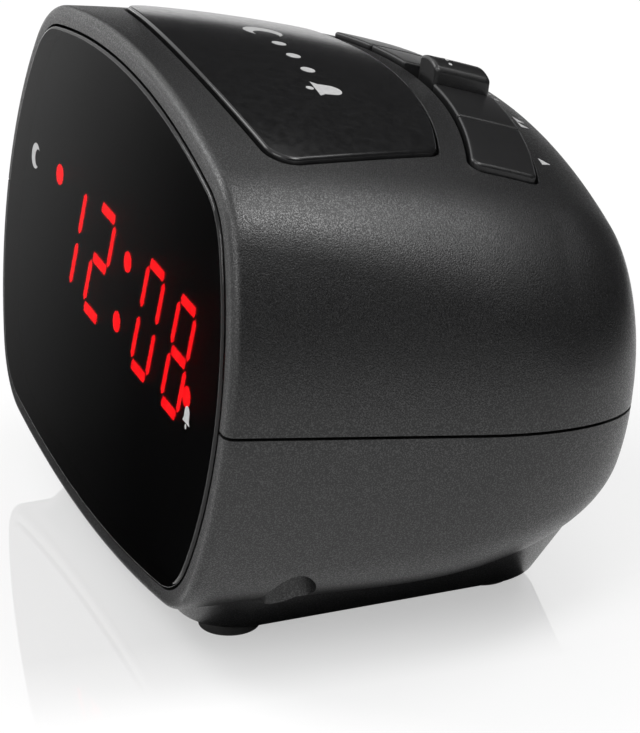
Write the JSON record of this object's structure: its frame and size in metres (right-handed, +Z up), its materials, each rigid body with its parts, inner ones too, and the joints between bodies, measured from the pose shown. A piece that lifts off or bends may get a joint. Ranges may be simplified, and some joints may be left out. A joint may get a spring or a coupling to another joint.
{
  "type": "digital alarm clock",
  "caption": "Bedside alarm clock: rounded leaning case, smoked window over a red segment display, snooze bar, setting buttons and slide switch.",
  "frame": {"origin": "centre of the bounding box on the plane the feet stand on", "axes": "+X to the right as the display is read from the front, +Y to the rear, +Z up"},
  "size_m": [0.0944, 0.0629, 0.0673],
  "materials": {
    "housing": "charcoal ABS with a fine spark-eroded texture",
    "window": "smoked gloss acrylic",
    "gloss_key": "gloss black ABS",
    "led_red": "lit red light bars",
    "led_dark": "unlit red light bars",
    "inner_plastic": "black moulded plastic",
    "board": "green solder mask",
    "capacitor": "shrink sleeve",
    "core_steel": "varnished laminations",
    "winding": "enamelled copper under tape",
    "plated_steel": "nickel plated",
    "cable": "grey ribbon insulation",
    "foot_rubber": "soft black rubber",
    "contact_brass": "spring brass"
  },
  "bodies": {
    "case": {"upper_housing": "housing", "lower_housing": "housing", "front_lens": "window", "display_reflector": "inner_plastic", "lit_segments": "led_red", "unlit_segments": "led_dark", "main_board": "board", "control_board": "board", "clock_chip": "inner_plastic", "capacitors": "capacitor", "diodes": "inner_plastic", "sounder": "inner_plastic", "transformer_core": "core_steel", "transformer_coil": "winding", "tact_switches": "inner_plastic", "slide_switch": "plated_steel", "control_board_screws": "plated_steel", "ribbon_cable": "cable", "rubber_feet": "foot_rubber", "case_screws": "plated_steel", "backup_cell": "plated_steel", "cell_contact": "contact_brass"},
    "snooze": {"snooze_bar": "gloss_key"},
    "alarm_key": {"alarm_button": "gloss_key"},
    "time_key": {"time_button": "gloss_key"},
    "hour_key": {"hour_button": "gloss_key"},
    "minute_key": {"minute_button": "gloss_key"},
    "alarm_switch": {"switch_knob": "gloss_key", "switch_lever": "gloss_key"},
    "door": {"battery_door": "housing"}
  },
  "joints": [
    {"name": "snooze_press", "type": "slide", "parent": "case", "child": "snooze", "axis": [0, -0.1253, -0.9921], "range_m": [0, 0.001], "stiffness_N_per_m": 800, "springref_m": -0.001},
    {"name": "alarm_press", "type": "slide", "parent": "case", "child": "alarm_key", "axis": [0, -0.1253, -0.9921], "range_m": [0, 0.0008], "stiffness_N_per_m": 500, "springref_m": -0.001},
    {"name": "time_press", "type": "slide", "parent": "case", "child": "time_key", "axis": [0, -0.1253, -0.9921], "range_m": [0, 0.0008], "stiffness_N_per_m": 500, "springref_m": -0.001},
    {"name": "hour_press", "type": "slide", "parent": "case", "child": "hour_key", "axis": [0, -0.1253, -0.9921], "range_m": [0, 0.0008], "stiffness_N_per_m": 500, "springref_m": -0.001},
    {"name": "minute_press", "type": "slide", "parent": "case", "child": "minute_key", "axis": [0, -0.1253, -0.9921], "range_m": [0, 0.0008], "stiffness_N_per_m": 500, "springref_m": -0.001},
    {"name": "alarm_switch_slide", "type": "slide", "parent": "case", "child": "alarm_switch", "axis": [1, 0, 0], "range_m": [-0.0025, 0]},
    {"name": "battery_door_turn", "type": "hinge", "parent": "case", "child": "door", "pos_m": [0.0145, -0.00558, 0.001], "axis": [0, 0, 1], "range_deg": [0, 70]}
  ]
}
